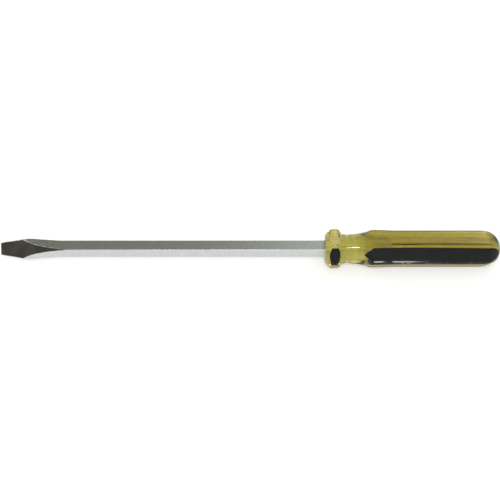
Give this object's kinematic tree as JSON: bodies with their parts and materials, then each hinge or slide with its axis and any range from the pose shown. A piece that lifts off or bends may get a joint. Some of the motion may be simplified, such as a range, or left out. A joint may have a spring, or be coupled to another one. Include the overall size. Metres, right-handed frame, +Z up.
{
  "type": "flat-blade screwdriver",
  "caption": "Large flat-blade screwdriver with a square steel shank and a six-sided clear amber plastic handle whose alternate flats are enamelled black.",
  "frame": {"origin": "middle of the blade tip's end face, on the shaft's axis", "axes": "+X along the shaft from the tip to the handle, +Z up, square to one side of the shank and to one bare flat of the handle"},
  "size_m": [0.3915, 0.0326, 0.029],
  "materials": {
    "blade_steel": "satin plated, dark ground tip",
    "amber_acetate": "clear, polished",
    "black_enamel": "gloss"
  },
  "bodies": {
    "root": {"blade": "blade_steel", "handle": "amber_acetate", "grip_panel_front": "black_enamel", "grip_panel_back": "black_enamel", "grip_panel_under": "black_enamel", "collar_panel_front": "black_enamel", "collar_panel_back": "black_enamel", "collar_panel_under": "black_enamel"}
  },
  "joints": []
}
